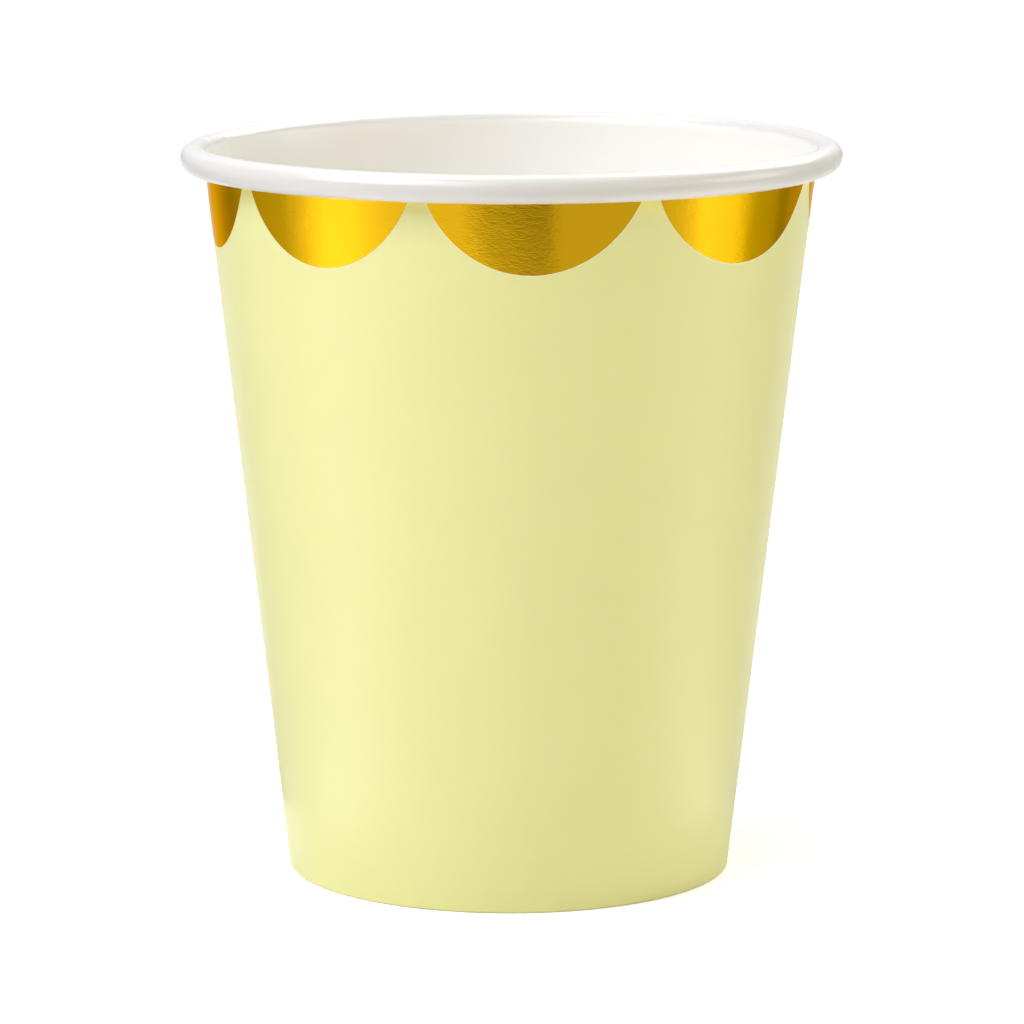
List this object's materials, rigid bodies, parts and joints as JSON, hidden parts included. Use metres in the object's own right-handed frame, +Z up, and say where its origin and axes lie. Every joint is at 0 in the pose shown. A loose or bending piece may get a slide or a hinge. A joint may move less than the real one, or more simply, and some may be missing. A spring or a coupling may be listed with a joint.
{
  "type": "paper cup",
  "caption": "Tapered paper party cup with a rolled white rim, pastel yellow wall and gold foil scallops hanging under the rim.",
  "frame": {"origin": "centre of the base ring's underside, on the surface that the cup stands on", "axes": "+Z up along the cup's axis towards the rim; -Y is the front, with the side lap at the left back"},
  "size_m": [0.08, 0.08, 0.0896],
  "materials": {
    "wall_board": "coated cup board, printed pastel yellow outside in satin, bare coated white on the roll and inside",
    "bottom_board": "coated white cup board, satin",
    "gold_foil": "bright gold hot-stamped foil with a fine crinkle"
  },
  "bodies": {
    "root": {"side_wall": "wall_board", "bottom_disc": "bottom_board", "foil_scallops": "gold_foil"}
  },
  "joints": []
}
